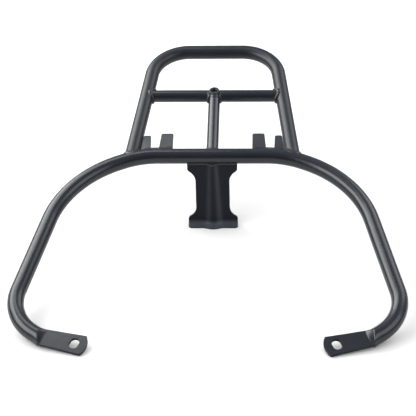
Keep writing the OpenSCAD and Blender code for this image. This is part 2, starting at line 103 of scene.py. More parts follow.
SIN_T, COS_T = math.sin(math.radians(TILT)), math.cos(math.radians(TILT))
tip_x = FOOT_L - TIP_R + math.sqrt(TIP_R**2 - (TIP_W / 2) ** 2)
tip_corner = heel_1 + tip_x * heading(FOOT_HEADING) + TIP_W / 2 * side(FOOT_HEADING)
press_low = after_bend(heel_0, HEEL_R, CORNER_END, HEEL_END - PRESS_TURN / 2)
CROSSBAR_Z = max(-press_low[1] * SIN_T + HOOP_R,
                 -tip_corner[1] * SIN_T + FOOT_T / 2 * COS_T) + FLOOR_CLEARANCE
CROSSBAR_Y = -(tip_corner[1] * COS_T - FOOT_T / 2 * SIN_T + LOOP_REACH * COS_T + CARRIER_R) / 2
print("crossbar axis at y %.2f mm, z %.2f mm" % (CROSSBAR_Y, CROSSBAR_Z))


def in_frame(points):
    """Points (x, u, n) of the sloping plane as world points: u and n turned by the tilt."""
    p = np.asarray(points, float)
    x, u, n = p[..., 0], p[..., 1], p[..., 2]
    return np.stack([x, CROSSBAR_Y + u * COS_T - n * SIN_T,
                     CROSSBAR_Z + u * SIN_T + n * COS_T], -1)


def leg_x(u):
    """Distance of a carrier leg's axis from the middle plane, u up the slope."""
    way = heading(LOOP_TURN)
    return loop_1[0] + (u - loop_1[1]) * way[0] / way[1]


# %% [markdown]
# ## Powder coat
#
# The coat is a bluish black with a satin gloss. A fine noise bump gives its orange
# peel, a wide noise shifts the colour and the gloss, and convex edges, where a coat
# runs thin, are a little lighter. A mesh may carry two values per vertex: one lightens
# the coat where a highlight is painted on, and "recess" takes its mirror away.

# %% Shader nodes
def add_node(tree, kind, inputs, **settings):
    """A new node with its settings and inputs. An input is a plain value or the output
    of another node."""
    new = tree.nodes.new(kind)
    for name, value in settings.items():
        setattr(new, name, value)
    for name, value in inputs.items():
        if isinstance(value, bpy.types.NodeSocket):
            tree.links.new(value, new.inputs[name])
        else:
            new.inputs[name].default_value = value
    return new


def map_range(tree, source, low, high, start=0.0, end=1.0):
    """Output that goes from low to high while the source goes from start to end:
    low + (high - low) (source - start) / (end - start), held at both ends."""
    return add_node(tree, "ShaderNodeMapRange",
                    {"Value": source, "From Min": start, "From Max": end,
                     "To Min": low, "To Max": high}).outputs["Result"]


# %% Materials
# A noise is given by its scale (waves per metre) and detail, a depth is in metres.
WIDE_NOISE, LUMP_NOISE, PEEL_NOISE = (34.0, 4.0), (190.0, 2.0), (1100.0, 2.0)
COLOUR_RANGE, GLOSS_RANGE, EDGE_RANGE = (0.8, 1.2), (-0.05, 0.07), (0.52, 0.62)
BLUE_BLACK = (0.0036, 0.0048, 0.0078, 1.0)
# The worn colour lightens thin edges; the second colour is a painted highlight.
WORN_COLOUR, PAINTED_SHEEN_COLOUR = (0.070, 0.070, 0.074, 1.0), (0.037, 0.042, 0.050, 1.0)
LUMP_STRENGTH, LUMP_DEPTH, PEEL_DEPTH = 0.10, 0.0006, 0.0002
MIRROR_OPEN, MIRROR_RECESS = 0.5, 0.05


def powder_coat(name, roughness, peel, edge_light, ior=1.5):
    """Principled black coat on Object coordinates: colour = blue black x wide noise, mixed
    with the worn colour at edges, by edge_light at most, and with a painted highlight colour;
    roughness = given one + wide noise; bump = soft lumps + fine noise of strength peel."""
    mat = bpy.data.materials.new(name)
    mat.use_nodes = True
    tree = mat.node_tree
    tree.nodes.clear()
    coords = add_node(tree, "ShaderNodeTexCoord", {}).outputs["Object"]

    def noise(scale, detail):
        """Noise of the object's coordinates."""
        return add_node(tree, "ShaderNodeTexNoise", {"Vector": coords, "Scale": scale,
                                                     "Detail": detail}).outputs["Fac"]

    def mixed(first, second, factor, blend="MIX"):
        """Two colours mixed by a factor."""
        return add_node(tree, "ShaderNodeMix", {"A": first, "B": second, "Factor": factor},
                        data_type="RGBA", blend_type=blend).outputs["Result"]

    def on_mesh(attribute):
        """The mesh's own value of that name."""
        return add_node(tree, "ShaderNodeAttribute", {},
                        attribute_name=attribute).outputs["Fac"]

    wide = noise(*WIDE_NOISE)
    shade = map_range(tree, wide, *COLOUR_RANGE)
    pointed = add_node(tree, "ShaderNodeNewGeometry", {}).outputs["Pointiness"]
    edge = map_range(tree, pointed, 0.0, edge_light, *EDGE_RANGE)
    base = mixed(BLUE_BLACK, shade, 1.0, "MULTIPLY")
    base = mixed(base, WORN_COLOUR, edge)
    # Painted highlight: the mesh's value mixes in a lighter colour where light would catch the
    # coat.
    base = mixed(base, PAINTED_SHEEN_COLOUR, on_mesh("painted_sheen"))
    lumps = add_node(tree, "ShaderNodeBump",
                     {"Strength": LUMP_STRENGTH, "Distance": LUMP_DEPTH,
                      "Height": noise(*LUMP_NOISE)})
    bump = add_node(tree, "ShaderNodeBump",
                    {"Strength": peel, "Distance": PEEL_DEPTH,
                     "Height": noise(*PEEL_NOISE), "Normal": lumps.outputs["Normal"]})
    gloss = map_range(tree, wide, roughness + GLOSS_RANGE[0], roughness + GLOSS_RANGE[1])
    mirror = map_range(tree, on_mesh("recess"), MIRROR_OPEN, MIRROR_RECESS)
    bsdf = add_node(tree, "ShaderNodeBsdfPrincipled",
                    {"Base Color": base, "Roughness": gloss, "IOR": ior,
                     "Specular IOR Level": mirror, "Normal": bump.outputs["Normal"]})
    add_node(tree, "ShaderNodeOutputMaterial", {"Surface": bsdf.outputs["BSDF"]})
    return mat


coat_tube = powder_coat("coat_tube", roughness=0.25, peel=0.10, edge_light=0.03)
coat_carrier = powder_coat("coat_carrier", roughness=0.36, peel=0.14, edge_light=0.03, ior=1.44)
coat_spine = powder_coat("coat_spine", roughness=0.19, peel=0.10, edge_light=0.03)
coat_plate = powder_coat("coat_plate", roughness=0.32, peel=0.12, edge_light=0.15)
coat_bracket = powder_coat("coat_bracket", roughness=0.32, peel=0.12, edge_light=0.15, ior=1.22)
coat_weld = powder_coat("coat_weld", roughness=0.27, peel=0.18, edge_light=0.06)
coat_bush = powder_coat("coat_bush", roughness=0.28, peel=0.08, edge_light=0.15)

# %% [markdown]
# ## Making meshes
#
# Every piece is an array of points and an array of faces. Rings of points are joined
# to a skin, which is open at its ends, closed by caps, or closed on itself.

# %% Mesh tools
made = []


def mesh_object(name, points, faces, material, slot, node=None, sharp=35.0):
    """Object of world points in mm and index faces, with outward normals and edges over
    `sharp` degrees kept hard. It rides on the rack and stands for `node`."""
    me = bpy.data.meshes.new(name)
    me.from_pydata((np.asarray(points) * MM).tolist(), [], [list(map(int, f)) for f in faces])
    bm = bmesh.new()
    bm.from_mesh(me)
    bmesh.ops.remove_doubles(bm, verts=bm.verts, dist=1e-7)
    bmesh.ops.recalc_face_normals(bm, faces=bm.faces)
    bm.to_mesh(me)
    bm.free()
    me.polygons.foreach_set("use_smooth", np.ones(len(me.polygons), bool))
    me.set_sharp_from_angle(angle=math.radians(sharp))
    me.materials.append(material)
    ob = bpy.data.objects.new(name, me)
    bpy.context.scene.collection.objects.link(ob)
    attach(ob, "root")
    if node:
        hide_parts(node)
    made.append(ob)
    return ob


def skin(rings, closed=False, caps=True):
    """Points and quads of a skin over rings (m, n, 3). A closed skin joins its last ring
    to its first, an open one gets a cap at each end."""
    rings = np.asarray(rings, float)
    m, n = rings.shape[:2]
    i = np.arange(m if closed else m - 1)[:, None]
    j = np.arange(n)[None, :]
    a, b = i % m, (i + 1) % m
    k = (j + 1) % n
    quads = np.stack([a * n + j, b * n + j, b * n + k, a * n + k], -1).reshape(-1, 4).tolist()
    if caps and not closed:
        quads.append(list(range(n))[::-1])
        quads.append([(m - 1) * n + q for q in range(n)])
    return rings.reshape(-1, 3), quads


def joined(*parts):
    """Several (points, faces) as one."""
    points, faces, base = [], [], 0
    for p, f in parts:
        points.append(p)
        faces += [[v + base for v in face] for face in f]
        base += len(p)
    return np.vstack(points), faces


def mirrored(part):
    """The mirror image of (points, faces) in the plane x = 0."""
    p, f = part
    return p * np.array([-1, 1, 1]), [face[::-1] for face in f]


def tube_ring(centre, turn, r, count=48):
    """Circle of radius r around centre, square to the heading `turn`, in the plane's
    coordinates: centre + r (cos q side + sin q n)."""
    q = np.linspace(0, 2 * np.pi, count, endpoint=False)
    xy = centre + r * np.cos(q)[:, None] * side(turn)
    return np.column_stack([xy, r * np.sin(q)])


# %% [markdown]
# ## Hoop
#
# The hoop's axis is a chain of straights and arcs. The last 11 degrees of each heel are
# pressed: the section goes from a circle to a flat oval, sooner on the inside of the
# bend, which leaves the slanting crease that the photograph shows. The last ring is
# smaller and lies inside the foot plate, so that no gap opens between them.

# %% Hoop tube
def arc_stations(p, r, a0, a1, step=2.0):
    """Stations (point, heading) along a bend, at most `step` degrees apart."""
    count = max(2, int(math.ceil((a1 - a0) / step)) + 1)
    return [(after_bend(p, r, a0, a), a) for a in np.linspace(a0, a1, count)]


def straight_stations(p, a, length, step=12.0):
    """Stations along a straight run, without its two ends."""
    count = max(2, int(length / step))
    return [(p + length * t * heading(a), a) for t in np.linspace(0, 1, count + 1)[1:-1]]


hoop_half = [(np.array([x, 0.0]), 0.0) for x in np.linspace(0, HALF_CROSSBAR, 6)[:-1]]
hoop_half += arc_stations(shoulder_0, SHOULDER_R, 0, SHOULDER_END)
hoop_half += arc_stations(corner_0, CORNER_R, SHOULDER_END, CORNER_END)
hoop_half += straight_stations(corner_1, CORNER_END, LEG_L)
hoop_half += arc_stations(heel_0, HEEL_R, CORNER_END, HEEL_END - PRESS_TURN)


def ease(t):
    """Smooth step from 0 to 1: 3 t^2 - 2 t^3, held outside that span."""
    t = np.clip(t, 0, 1)
    return t * t * (3 - 2 * t)


PRESS_RINGS, LINEAR_PRESS, FLAT_POWER = 40, 0.85, 0.45
SUNK_SHRINK, SUNK_DEPTH = np.array([0.93, 0.93, 0.5]), 4.0


def press_ring(u, count=48):
    """Ring of the pressed heel at share u of its length. The half width eases from the
    tube's radius to the foot's. The half height goes down nearly in a line, later on the
    outside. The sine's power goes from 1 (round) to FLAT_POWER (boxy)."""
    q = np.linspace(0, 2 * np.pi, count, endpoint=False)
    v = np.cos(q)
    a = HEEL_END - PRESS_TURN + PRESS_TURN * u
    start = PRESS_SKEW * (1 + v) / 2
    r = HOOP_R - SKIN_INSET
    half_w = r + (NECK_W / 2 - r) * ease(u)
    slope = np.clip((u - start) / (1 - start), 0, 1)
    press = LINEAR_PRESS * slope + (1 - LINEAR_PRESS) * ease(slope)
    half_h = r + (FOOT_T / 2 - r) * press
    power = 1 + (FLAT_POWER - 1) * ease(u)
    centre = after_bend(heel_0, HEEL_R, CORNER_END, a)
    xy = centre + (half_w * v)[:, None] * side(a)
    return np.column_stack([xy, half_h * np.sign(np.sin(q)) * np.abs(np.sin(q)) ** power])


right_rings = [tube_ring(c, a, HOOP_R - SKIN_INSET) for c, a in hoop_half]
right_rings += [press_ring(u) for u in np.linspace(0, 1, PRESS_RINGS + 1)[1:]]
sunk_centre = np.append(heel_1, 0.0)
right_rings += [sunk_centre + (press_ring(1.0) - sunk_centre) * SUNK_SHRINK
                + np.append(SUNK_DEPTH * heading(FOOT_HEADING), 0.0)]


def both_halves(rings):
    """Skin of a bent tube from the rings of its right half, the first in the middle."""
    rings = np.array(rings)
    return skin(in_frame(np.concatenate([rings[:0:-1] * np.array([-1, 1, 1]), rings])))


hoop_skin = both_halves(right_rings)

# %% [markdown]
# A foot is a plate with a slot. Rays from the slot's middle meet the slot's edge and the
# foot's outline, and eight loops between them make the plate with a small bevel. The
# plate starts at FOOT_ROOT, which lies inside the heel.

# %% Feet
FOOT_BEVEL, FOOT_ROOT, FOOT_SPAN, RIM_RECESS = 0.25, -6.0, 60.0, 0.7
TIP_RAYS, SLOT_WALL_TOL, RIM_TOL = -0.2, 0.05, 0.01
slot_centre = np.array([FOOT_L - SLOT_INSET, 0.0])


def slot_edge(directions):
    """Distance from the slot's middle to its edge along unit directions in the slot's
    own axes: a stadium with round ends."""
    half = (SLOT_L - SLOT_W) / 2
    r = SLOT_W / 2
    out = []
    for dx, dy in directions:
        flat = r / abs(dy) if abs(dy) > 1e-9 else 1e9
        if flat * abs(dx) <= half:
            out.append(flat)
        else:
            b = half * abs(dx)
            out.append(b + math.sqrt(max(0.0, b * b - half * half + r * r)))
    return np.array(out)


def foot_edge(centre, directions):
    """Distance from centre to the foot's outline: its flared sides, its root and its
    rounded tip, whichever a ray meets first. Only rays with dx over TIP_RAYS can meet
    the tip."""
    flare = (TIP_W - NECK_W) / 2 / tip_x
    out = []
    for dx, dy in directions:
        best = 1e9
        for s in (-1, 1):
            slope = s * dy - flare * dx
            if slope > 1e-9:
                best = min(best, (NECK_W / 2 + flare * centre[0] - s * centre[1]) / slope)
        if dx < -1e-9:
            best = min(best, (FOOT_ROOT - centre[0]) / dx)
        if dx > TIP_RAYS:
            cx = centre[0] - (FOOT_L - TIP_R)
            b = cx * dx + centre[1] * dy
            disc = b * b - (cx * cx + centre[1] ** 2 - TIP_R**2)
            if disc > 0:
                best = min(best, -b + math.sqrt(disc))
        out.append(best)
    return np.array(out)


def in_slot_axes(ways):
    """Directions given along and across the foot, turned into the slot's own axes."""
    turn = math.radians(-SLOT_TURN)
    return np.column_stack([ways[:, 0] * math.cos(turn) - ways[:, 1] * math.sin(turn),
                            ways[:, 0] * math.sin(turn) + ways[:, 1] * math.cos(turn)])


def foot_part(count=144):
    """Points and faces of the right foot as world points."""
    q = np.linspace(0, 2 * np.pi, count, endpoint=False)
    ways = np.column_stack([np.cos(q), np.sin(q)])
    near, far = slot_edge(in_slot_axes(ways)), foot_edge(slot_centre, ways)
    h, b = FOOT_T / 2, FOOT_BEVEL
    loops = [(near, -h + b), (near, h - b), (near + b, h), (far - b, h),
             (far, h - b), (far, -h + b), (far - b, -h), (near + b, -h)]
    rings = []
    for reach, z in loops:
        local = slot_centre + reach[:, None] * ways
        xy = heel_1 + local[:, :1] * heading(FOOT_HEADING) + local[:, 1:] * side(FOOT_HEADING)
        rings.append(np.column_stack([xy, np.full(count, z)]))
    p, f = skin(rings, closed=True)
    return in_frame(p), f


foot = foot_part()
hoop = mesh_object("hoop_skin", *joined(hoop_skin, foot, mirrored(foot)),
                   coat_tube, "tube", "hoop_tube", sharp=32)


def point_values(ob, name, values):
    """Keeps one value per vertex on the mesh, which its material reads by name."""
    layer = ob.data.attributes.new(name, "FLOAT", "POINT")
    layer.data.foreach_set("value", np.asarray(values, np.float32))


def vertices_of(ob):
    """The mesh's vertices in mm."""
    co = np.empty(len(ob.data.vertices) * 3)
    ob.data.vertices.foreach_get("co", co)
    return co.reshape(-1, 3) / MM


def foot_recess(co):
    """1 on the slots' walls, RIM_RECESS on the feet's outer rims, and 0 elsewhere. The
    floor under a foot lies in its shade, so these walls mirror little."""
    dy, dz = co[:, 1] - CROSSBAR_Y, co[:, 2] - CROSSBAR_Z
    flat = np.column_stack([np.abs(co[:, 0]), dy * COS_T + dz * SIN_T])
    n = dz * COS_T - dy * SIN_T
    rel = flat - heel_1
    local = np.column_stack([rel @ heading(FOOT_HEADING), rel @ side(FOOT_HEADING)])
    local -= slot_centre
    reach = np.linalg.norm(local, axis=1)
    near = slot_edge(in_slot_axes(local / np.maximum(reach, 1e-6)[:, None]))
    rim = np.abs(np.abs(n) - (FOOT_T / 2 - FOOT_BEVEL)) < RIM_TOL
    rim &= reach < FOOT_SPAN
    return np.where(reach < near + SLOT_WALL_TOL, 1.0, np.where(rim, RIM_RECESS, 0.0))


recess_share = foot_recess(vertices_of(hoop))
point_values(hoop, "recess", recess_share)
print("vertices on slot walls:", int((recess_share == 1).sum()),
      "on rims:", int((recess_share == RIM_RECESS).sum()))
print("hoop faces:", len(hoop.data.polygons), "vertices:", len(hoop.data.vertices))

# %% [markdown]
# ## Carrier, cross tube and spine tube
#
# The loop is swept the same way. Every end runs into the tube it is welded to: a leg
# LEG_SINK past the crossbar's axis, the others to a share of the other tube's radius.

# %% Carrier loop, cross tube and spine tube
LEG_SINK, CROSS_END, SPINE_FRONT, SPINE_REAR = 2.0, 0.6, 0.5, 0.4
way = heading(LOOP_TURN)
leg_root = loop_1 + way * (loop_1[1] / -way[1] + LEG_SINK)
loop_half = [(np.array([x, LOOP_REACH]), 0.0) for x in np.linspace(0, HALF_REAR, 4)[:-1]]
loop_half += arc_stations(loop_0, LOOP_R, 0, LOOP_TURN)
loop_half += straight_stations(loop_1, LOOP_TURN, np.linalg.norm(leg_root - loop_1))
loop_half += [(leg_root, LOOP_TURN)]
mesh_object("carrier_skin",
            *both_halves([tube_ring(c, a, CARRIER_R - SKIN_INSET) for c, a in loop_half]),
            coat_carrier, "tube", "carrier_loop")

reach = leg_x(CROSS_REACH) - CARRIER_R * CROSS_END
rings = [tube_ring(np.array([x, CROSS_REACH]), 0.0, CROSS_R)
         for x in np.linspace(-reach, reach, 15)]
mesh_object("cross_skin", *skin(in_frame(rings)), coat_tube, "tube", "cross_tube")

rings = [tube_ring(np.array([0.0, u]), -90.0, SPINE_R)
         for u in np.linspace(HOOP_R * SPINE_FRONT, CROSS_REACH - CROSS_R * SPINE_REAR, 9)]
mesh_object("spine_skin", *skin(in_frame(rings)), coat_spine, "tube", "spine_tube")

# %% [markdown]
# ## Threaded bush
#
# A profile is turned about the bush's axis. Inside, a ridged bore stands for the thread.

# %% Threaded bush
BUSH_H = CROSS_R + BUSH_RISE
CHAMFER, CHAMFER_MID, BORE_LEAD = 0.6, (0.15, 0.3), 0.5
PITCH, THREAD_DEPTH = 1.25, 0.45


def lathe(profile, centre, count=64):
    """Rings of a profile of (radius, height) turned about an axis square to the plane."""
    q = np.linspace(0, 2 * np.pi, count, endpoint=False)
    return [np.column_stack([centre[0] + r * np.cos(q), centre[1] + r * np.sin(q),
                             np.full(count, h)]) for r, h in profile]


upper = [(BUSH_R, BUSH_H - CHAMFER), (BUSH_R - CHAMFER_MID[0], BUSH_H - CHAMFER_MID[1]),
         (BUSH_R - CHAMFER, BUSH_H), (BORE_R + BORE_LEAD, BUSH_H)]
outer = [(r, -h) for r, h in reversed(upper)] + upper
bore = []
for k in range(int((2 * BUSH_H - 2 * CHAMFER) / PITCH)):
    h = BUSH_H - CHAMFER - k * PITCH
    bore += [(BORE_R, h), (BORE_R + THREAD_DEPTH, h - PITCH / 2)]
bush_rings = lathe(outer + bore, (0.0, CROSS_REACH))
mesh_object("bush_skin", *skin(in_frame(bush_rings), closed=True), coat_bush, "bush",
            "threaded_bush", sharp=30)

# %% [markdown]
# ## Fork plates
#
# Two prongs beside an open slot. The outline is extruded and its rims are bevelled. The
# prongs are a little longer and wider than in the solids, as the photograph shows them.

# %% Fork plates
FORK_T, FORK_X, PRONG_IN, MOUTH_OUT = 3.0, 46.2, 60.4, 72.4
INNER_REACH, OUTER_REACH = 35.8, 32.5
ROOT_MID, ROOT_W, ROOT_REACH, PRONG_CORNER, LEG_GAP = 67.0, 9.5, 7.5, 1.6, 0.1
FORK_BASE, FORK_BEVEL = 6.0, 0.35
side_gap = CARRIER_R / side(LOOP_TURN)[0] + LEG_GAP


def fork_side(u):
    """Outer edge of a fork plate, parallel to the carrier's leg."""
    return leg_x(u) - side_gap


def round_corner(x, u, first):
    """Quarter circle of short chords in the corner at (x, u), turning on from `first`."""
    turns = np.radians(np.linspace(first, first + 90, 7))
    cx = x - PRONG_CORNER if first < 90 else x + PRONG_CORNER
    return [(cx + PRONG_CORNER * math.cos(a), u - PRONG_CORNER + PRONG_CORNER * math.sin(a))
            for a in turns]


def fork_outline():
    """Corners of the right fork plate, counter-clockwise, with the slot's round bottom
    and the prongs' round corners as short chords."""
    pts = [(FORK_X, FORK_BASE), (fork_side(FORK_BASE), FORK_BASE)]
    pts += round_corner(fork_side(OUTER_REACH), OUTER_REACH, 0)
    pts += round_corner(MOUTH_OUT, OUTER_REACH, 90)
    root_u = ROOT_REACH + ROOT_W / 2
    for a in np.linspace(0, -180, 19):
        pts.append((ROOT_MID + ROOT_W / 2 * math.cos(math.radians(a)),
                    root_u + ROOT_W / 2 * math.sin(math.radians(a))))
    pts += round_corner(PRONG_IN, INNER_REACH, 0)
    pts += round_corner(FORK_X, INNER_REACH, 90)
    return np.array(pts)


def bevelled_plate(outline, thickness, bevel):
    """Points and faces of a plate: the outline at both heights, joined by walls, with
    every rim edge bevelled in two steps."""
    n = len(outline)
    bm = bmesh.new()
    low = [bm.verts.new((x, y, -thickness / 2)) for x, y in outline]
    top = [bm.verts.new((x, y, thickness / 2)) for x, y in outline]
    bm.faces.new(low[::-1])
    bm.faces.new(top)
    for i in range(n):
        j = (i + 1) % n
        bm.faces.new([low[i], low[j], top[j], top[i]])
    rims = [e for e in bm.edges if abs(e.verts[0].co.z - e.verts[1].co.z) < 1e-6]
    bmesh.ops.bevel(bm, geom=rims, offset=bevel, segments=2, affect="EDGES", profile=0.5)
    bmesh.ops.triangulate(bm, faces=[f for f in bm.faces if len(f.verts) > 4])
    bm.verts.index_update()
    points = np.array([v.co[:] for v in bm.verts])
    faces = [[v.index for v in f.verts] for f in bm.faces]
    bm.free()
    return points, faces


points, faces = bevelled_plate(fork_outline(), FORK_T, FORK_BEVEL)
right_fork = (in_frame(points), faces)
mesh_object("right_fork_skin", *right_fork, coat_plate, "pressed_plate", "right_fork", sharp=28)
mesh_object("left_fork_skin", *mirrored(right_fork), coat_plate, "pressed_plate", "left_fork",
            sharp=28)

# %% [markdown]
# ## Bracket
#
# The bracket is one pressed sheet. A point on it is given by its place across and its
# way down the sheet, round the bend and out along the lip. The rib is a smooth bulge
# that grows to the foot, and the sheet's thickness is added along its normal. A shoulder
# leads from the straight side into the waist by a tight arc and a wide one, within 17 mm
# of height at the top and 16 mm at the foot.

# %% Bracket
BR_T, BR_OFFSET, BR_W, WAIST_W, BR_TOP_GAP = 2.5, 5.0, 58.0, 39.5, 1.0
TOP_END_H, FOOT_END_H, TOP_CURVE_H, FOOT_CURVE_H, CONVEX_SHARE = 6.5, 8.0, 17.0, 16.0, 0.25
LIP_L, LIP_CORNER = 7.5, 4.0
RIB_TOP_W, RIB_FOOT_W, RIB_TOP_H, RIB_FOOT_H = 12.0, 22.0, 2.0, 3.2
RIB_SPREAD, RIB_POWER, RIB_SHARE = 1.12, 0.9, 0.95
BEND_R, BEND_START, BEND_ROWS = 4.2, 0.86, 50
br_front = -BR_OFFSET - BR_T
br_top = CROSSBAR_Z - math.sqrt(HOOP_R**2 - (BR_OFFSET + BR_T) ** 2) - BR_TOP_GAP


def shoulder_inset(t, height):
    """How far the edge has moved in after a way t down a shoulder of that height: a tight
    arc, then a wide one that turns back. Their angle is 2 atan(inset / height)."""
    inset = (BR_W - WAIST_W) / 2
    turn = 2 * math.atan(inset / height)
    both = height / math.sin(turn)
    tight, wide = CONVEX_SHARE * both, (1 - CONVEX_SHARE) * both
    if t <= 0:
        return 0.0
    if t >= height:
        return inset
    if t < tight * math.sin(turn):
        return tight - math.sqrt(tight * tight - t * t)
    return inset - (wide - math.sqrt(wide * wide - (height - t) ** 2))


def half_width(z):
    """Half width of the sheet at height z: full at both ends, less in the waist."""
    return BR_W / 2 - min(shoulder_inset(z - FOOT_END_H, FOOT_CURVE_H),
                          shoulder_inset(br_top - z - TOP_END_H, TOP_CURVE_H))


def rib_bulge(x, z):
    """Height of the rib over the sheet: a cosine hump whose width and height grow
    from the top to the foot."""
    share = np.clip(1 - z / br_top, 0, 1)
    w = RIB_TOP_W + (RIB_FOOT_W - RIB_TOP_W) * share
    h = RIB_TOP_H + (RIB_FOOT_H - RIB_TOP_H) * share
    t = np.clip(np.abs(x) / (w / 2 * RIB_SPREAD), 0, 1)
    return h * (0.5 + 0.5 * np.cos(np.pi * t)) ** RIB_POWER


def sheet_point(down):
    """Front face of the sheet before the rib, at share `down` of its way: y, z, the
    normal's y and z, and the way past the bend. The flat runs down to the bend, the bend
    turns forward, the lip runs out."""
    flat_l = br_top - BR_T - BEND_R
    bent_l = flat_l + BEND_R * math.pi / 2
    s = down * (bent_l + LIP_L - BEND_R)
    if s <= flat_l:
        z, y, ny, nz = br_top - s, br_front, -1.0, 0.0
    elif s <= bent_l:
        a = (s - flat_l) / BEND_R
        z = BR_T + BEND_R * (1 - math.sin(a))
        y = br_front - BEND_R * (1 - math.cos(a))
        ny, nz = -math.cos(a), math.sin(a)
    else:
        z, y, ny, nz = BR_T, br_front - BEND_R - (s - bent_l), 0.0, 1.0
    return y, z, ny, nz, s - bent_l


def bracket_part(cols=73, rows=150):
    """Points and faces of the bracket: front and back grids, joined round their rim. The
    rib pushes the sheet forward, and the lip with it. The lip's two corners are round."""
    downs = np.concatenate([np.linspace(0, BEND_START, rows - BEND_ROWS),
                            np.linspace(BEND_START, 1, BEND_ROWS + 1)[1:]])
    front, back = [], []
    for d in downs:
        y, z, ny, nz, out = sheet_point(d)
        half = half_width(z)
        if out > LIP_L - BEND_R - LIP_CORNER:
            k = out - (LIP_L - BEND_R - LIP_CORNER)
            half -= LIP_CORNER - math.sqrt(max(0.0, LIP_CORNER**2 - min(k, LIP_CORNER) ** 2))
        x = np.linspace(-half, half, cols)
        bulge = rib_bulge(x, max(z - BR_T, 0.0))
        fy = y - bulge * RIB_SHARE
        fz = np.full(cols, z)
        front.append(np.column_stack([x, fy, fz]))
        back.append(np.column_stack([x, fy - ny * BR_T, fz - nz * BR_T]))
    front, back = np.array(front), np.array(back)
    back[:, :, 2] = np.maximum(back[:, :, 2], 0.0)
    m, n = front.shape[:2]
    idx = np.arange(m * n).reshape(m, n)
    quads = np.stack([idx[:-1, :-1], idx[:-1, 1:], idx[1:, 1:], idx[1:, :-1]], -1)
    quads = quads.reshape(-1, 4)
    faces = quads.tolist() + (quads[:, ::-1] + m * n).tolist()
    rim = list(idx[0]) + list(idx[1:, -1]) + list(idx[-1, -2::-1]) + list(idx[-2:0:-1, 0])
    for i, a in enumerate(rim):
        b = rim[(i + 1) % len(rim)]
        faces.append([int(a), int(b), int(b) + m * n, int(a) + m * n])
    points = np.concatenate([front.reshape(-1, 3), back.reshape(-1, 3)])
    return points + np.array([0, CROSSBAR_Y, 0]), faces


bracket = mesh_object("bracket_skin", *bracket_part(), coat_bracket, "pressed_plate",
                      "bracket", sharp=40)

# %% [markdown]
# Highlights are painted into the coat as lighter bands along each flank of the rib and
# along the lip. The bands move apart and widen from the top of the bracket to its foot.

# %% Painted highlight bands of the bracket
RIGHT_BAND, LEFT_BAND = (4.3, 3.8, 2.2, 1.3), (-3.4, -2.4, 2.0, 1.0)
# Strengths of the painted highlights on the rib's right and left flank and on the lip.
RIGHT_SHEEN, LEFT_SHEEN, LIP_SHEEN, LIP_BAND_H, LIP_UNDER = 0.48, 0.26, 0.8, 6.0, 0.3


def flank_band(x, share, middle, drift, width, spread):
    """exp(-d^2), where d is the distance from the band's middle over its width. Both
    change with the share of the way down."""
    return np.exp(-(((x - middle - drift * share) / (width + spread * share)) ** 2))


def painted_sheen_share(co):
    """How much painted highlight the coat gets at each vertex: the two flank bands and the
    lip's band, which starts at the lip and fades LIP_BAND_H higher."""
    x, z = co[:, 0], co[:, 2]
    down = np.clip(1 - z / br_top, 0, 1)
    lip = np.where(z > BR_T - LIP_UNDER, np.clip(1 - (z - BR_T) / LIP_BAND_H, 0, 1), 0)
    return np.clip(RIGHT_SHEEN * flank_band(x, down, *RIGHT_BAND)
                   + LEFT_SHEEN * flank_band(x, down, *LEFT_BAND) + LIP_SHEEN * lip, 0, 1)


# The painted highlights are kept on the bracket's vertices for its coat to read.
point_values(bracket, "painted_sheen", painted_sheen_share(vertices_of(bracket)))

# %% [markdown]
# ## Weld beads
#
# A bead lies in the corner between two tubes. Its section runs from a point on the main
# tube over a crown to a point on the branch. Ripples, bowed along the bead's path, are
# what the moving weld pool leaves. A tube is given in the sloping plane, as ("straight",
# a point, its direction, its radius) or ("bent", the bend's centre, the bend's radius,
# its radius).

# %% Weld beads
LEG_BEAD, TUBE_BEAD, PLATE_BEAD, SPINE_FRONT_BEAD, CROWN = 3.0, 2.5, 3.0, 1.5, 1.15
RIPPLE, RIPPLE_PITCH, RIPPLE_BOW, WOBBLE = 0.13, 1.7, 1.6, 0.05
ROOT_DEPTH, PLATE_ROOT_DEPTH, BEAD_STEP, BEAD_TURN, BEAD_END = 0.6, 0.5, 0.3, 1.5, 1.0
COLLAR_RAMP, COLLAR_POWER, COLLAR_CROWN, COLLAR_RISE, COLLAR_ROOT = 4.0, 0.4, 0.25, 1.2, 0.9
RIB_DEPTH, RIB_DIP, BRACKET_BEAD_END = 5.0, 0.4, 1.5
rng = np.random.default_rng(7)


def unit(v):
    """v divided by its length."""
    return v / np.linalg.norm(v)


def axis_point(tube, p):
    """Nearest point on a tube's axis: on a line, or on an arc about its centre."""
    if tube[0] == "straight":
        return tube[1] + ((p[:2] - tube[1]) @ tube[2]) * tube[2]
    return tube[1] + tube[2] * unit(p[:2] - tube[1])


def snap(tube, p):
    """The point of the tube's surface nearest to p."""
    c = np.append(axis_point(tube, p), 0.0)
    return c + tube[3] * unit(p - c)


def meet(tube, p, way):
    """Distance along `way` from p to the main tube's surface, at p's height n."""
    deep = math.sqrt(max(0.0, tube[3] ** 2 - p[2] ** 2))
    v = p[:2] - tube[1]
    if tube[0] == "straight":
        out = np.array([-tube[2][1], tube[2][0]])
        toward = 1 if way @ out > 0 else -1
        return (toward * deep - v @ out) / (way @ out)
    b = v @ way
    return -b + math.sqrt(b * b - v @ v + (tube[2] + deep) ** 2)


def bead_section(low, high, root, crown, phase, count=9):
    """Section of a bead from low over its crown to high, closed through the root. The
    crown is a half sine, and the ripple is a sine of the way along, bowed in the middle."""
    t = np.linspace(0, 1, count)
    bow = np.sin(np.pi * t)
    wave = RIPPLE * np.sin(phase - RIPPLE_BOW * bow) * bow
    line = low + (high - low) * t[:, None]
    return np.vstack([line + crown * (bow * CROWN + wave)[:, None], root[None, :]])


